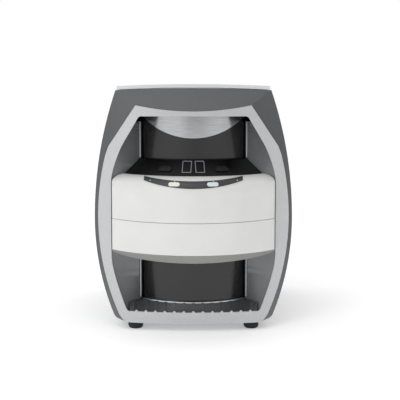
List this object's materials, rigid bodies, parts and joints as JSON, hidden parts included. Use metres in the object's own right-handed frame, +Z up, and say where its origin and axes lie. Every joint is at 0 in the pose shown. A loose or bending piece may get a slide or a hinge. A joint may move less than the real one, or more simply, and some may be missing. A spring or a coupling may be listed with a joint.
{
  "type": "dental imaging plate scanner",
  "caption": "Free-standing desktop scanner for dental imaging plates: barrel-sided case, curved plate entry over a dark drum, white front housing and a ribbed tray.",
  "frame": {"origin": "on the floor below the drum axis, at the middle of the bounding box", "axes": "+Z up, the front faces -Y, +X to the right seen from the front"},
  "size_m": [0.377, 0.425, 0.4665],
  "materials": {
    "housing_white": "satin",
    "top_light": "satin",
    "dark_metallic": "satin metallic",
    "cheek_metallic": "satin metallic",
    "silver_metallic": "satin metallic",
    "silver_bright": "brushed",
    "drum_black": "satin",
    "guide_black": "satin",
    "tab_grey": "matte",
    "frame_line": "satin",
    "tray_grey": "matte",
    "panel_dark": "satin",
    "button_white": "satin",
    "light_green": "clear",
    "rubber_black": "matte",
    "sheet_steel": "plain",
    "rear_paint": "matte",
    "belt_rubber": "matte",
    "roller_steel": "ground",
    "gear_acetal": "matte",
    "pinion_brass": "plain",
    "motor_dark": "satin",
    "acrylic": "clear",
    "lamp_red": "clear",
    "board_green": "lacquered",
    "plastic_black": "matte",
    "screw_zinc": "zinc"
  },
  "bodies": {
    "chassis": {"base_pan": "sheet_steel", "feet": "rubber_black", "side_cover_left": "dark_metallic", "side_cover_right": "dark_metallic", "top_cover": "top_light", "rear_panel": "rear_paint", "front_fascia": "dark_metallic", "front_bezel": "silver_metallic", "cheek_left": "cheek_metallic", "cheek_right": "cheek_metallic", "header_plate": "plastic_black", "bulkhead": "sheet_steel", "drum_shell": "drum_black", "drum_cowl": "silver_bright", "drum_foot_ring": "silver_bright", "entry_guide": "guide_black", "entry_tabs": "tab_grey", "entry_frames": "frame_line", "upper_front_cover": "housing_white", "lower_front_cover": "housing_white", "control_panel": "panel_dark", "indicator_lights": "light_green", "button_board": "board_green", "transport_frame": "sheet_steel", "belt_1": "belt_rubber", "belt_2": "belt_rubber", "belt_3": "belt_rubber", "belt_4": "belt_rubber", "transport_motor": "motor_dark", "optics_plate": "sheet_steel", "rotor_motor": "motor_dark", "laser_module": "motor_dark", "light_collector": "acrylic", "photomultiplier": "motor_dark", "erase_lamp": "lamp_red", "main_board": "board_green", "power_supply": "sheet_steel", "power_inlet": "plastic_black", "data_port": "roller_steel", "fan_frame": "plastic_black", "rear_screws": "screw_zinc"},
    "collection_tray": {"collection_tray": "tray_grey"},
    "left_button": {"left_button": "button_white"},
    "right_button": {"right_button": "button_white"},
    "motor_pinion": {"motor_pinion": "pinion_brass"},
    "idler_gear": {"idler_gear": "gear_acetal"},
    "scan_rotor": {"scan_rotor": "silver_bright"},
    "power_rocker": {"power_rocker": "plastic_black"},
    "fan_impeller": {"fan_impeller": "plastic_black"},
    "drive_roller_1": {"drive_roller_1": "roller_steel"},
    "idler_roller_1": {"idler_roller_1": "roller_steel"},
    "drive_roller_2": {"drive_roller_2": "roller_steel"},
    "idler_roller_2": {"idler_roller_2": "roller_steel"},
    "drive_roller_3": {"drive_roller_3": "roller_steel", "drive_gear": "gear_acetal"},
    "idler_roller_3": {"idler_roller_3": "roller_steel"},
    "drive_roller_4": {"drive_roller_4": "roller_steel"},
    "idler_roller_4": {"idler_roller_4": "roller_steel"}
  },
  "joints": [
    {"name": "drive_roller_1_spin", "type": "hinge", "parent": "chassis", "child": "drive_roller_1", "pos_m": [-0.0894, -0.12305, 0.266], "axis": [0.809, -0.5878, 0], "continuous": true},
    {"name": "idler_roller_1_spin", "type": "hinge", "parent": "chassis", "child": "idler_roller_1", "pos_m": [-0.0894, -0.12305, 0.162], "axis": [0.809, -0.5878, 0], "continuous": true},
    {"name": "drive_roller_2_spin", "type": "hinge", "parent": "chassis", "child": "drive_roller_2", "pos_m": [-0.03162, -0.14878, 0.266], "axis": [0.9781, -0.2079, 0], "continuous": true},
    {"name": "idler_roller_2_spin", "type": "hinge", "parent": "chassis", "child": "idler_roller_2", "pos_m": [-0.03162, -0.14878, 0.162], "axis": [0.9781, -0.2079, 0], "continuous": true},
    {"name": "drive_roller_3_spin", "type": "hinge", "parent": "chassis", "child": "drive_roller_3", "pos_m": [0.03162, -0.14878, 0.266], "axis": [0.9781, 0.2079, 0], "continuous": true},
    {"name": "idler_roller_3_spin", "type": "hinge", "parent": "chassis", "child": "idler_roller_3", "pos_m": [0.03162, -0.14878, 0.162], "axis": [0.9781, 0.2079, 0], "continuous": true},
    {"name": "drive_roller_4_spin", "type": "hinge", "parent": "chassis", "child": "drive_roller_4", "pos_m": [0.0894, -0.12305, 0.266], "axis": [0.809, 0.5878, 0], "continuous": true},
    {"name": "idler_roller_4_spin", "type": "hinge", "parent": "chassis", "child": "idler_roller_4", "pos_m": [0.0894, -0.12305, 0.162], "axis": [0.809, 0.5878, 0], "continuous": true},
    {"name": "idler_gear_spin", "type": "hinge", "parent": "chassis", "child": "idler_gear", "pos_m": [0.05491, -0.16212, 0.24748], "axis": [0.9781, 0.2079, 0], "continuous": true},
    {"name": "motor_pinion_spin", "type": "hinge", "parent": "chassis", "child": "motor_pinion", "pos_m": [0.05951, -0.18378, 0.23761], "axis": [0.9781, 0.2079, 0], "continuous": true},
    {"name": "scan_rotor_spin", "type": "hinge", "parent": "chassis", "child": "scan_rotor", "pos_m": [0, 0, 0.19], "axis": [0, 0, 1], "continuous": true},
    {"name": "fan_spin", "type": "hinge", "parent": "chassis", "child": "fan_impeller", "pos_m": [0.06, 0.1981, 0.34], "axis": [0, 1, 0], "continuous": true},
    {"name": "power_rocker_tilt", "type": "hinge", "parent": "chassis", "child": "power_rocker", "pos_m": [-0.07, 0.2062, 0.07], "axis": [1, 0, 0], "range_deg": [-7, 7]},
    {"name": "tray_lift", "type": "slide", "parent": "chassis", "child": "collection_tray", "axis": [0, 0, 1], "range_m": [0, 0.04]},
    {"name": "left_button_press", "type": "slide", "parent": "chassis", "child": "left_button", "axis": [0.137, 0.7973, -0.5878], "range_m": [0, 0.0008], "stiffness_N_per_m": 400},
    {"name": "right_button_press", "type": "slide", "parent": "chassis", "child": "right_button", "axis": [-0.137, 0.7973, -0.5878], "range_m": [0, 0.0008], "stiffness_N_per_m": 400}
  ],
  "couplings": [
    {"joint": "drive_roller_1_spin", "follows": "drive_roller_3_spin", "ratio": 1},
    {"joint": "drive_roller_2_spin", "follows": "drive_roller_3_spin", "ratio": 1},
    {"joint": "drive_roller_4_spin", "follows": "drive_roller_3_spin", "ratio": 1},
    {"joint": "idler_roller_1_spin", "follows": "drive_roller_3_spin", "ratio": 1},
    {"joint": "idler_roller_2_spin", "follows": "drive_roller_3_spin", "ratio": 1},
    {"joint": "idler_roller_3_spin", "follows": "drive_roller_3_spin", "ratio": 1},
    {"joint": "idler_roller_4_spin", "follows": "drive_roller_3_spin", "ratio": 1},
    {"joint": "idler_gear_spin", "follows": "drive_roller_3_spin", "ratio": -0.59375},
    {"joint": "motor_pinion_spin", "follows": "drive_roller_3_spin", "ratio": 1.1875}
  ]
}
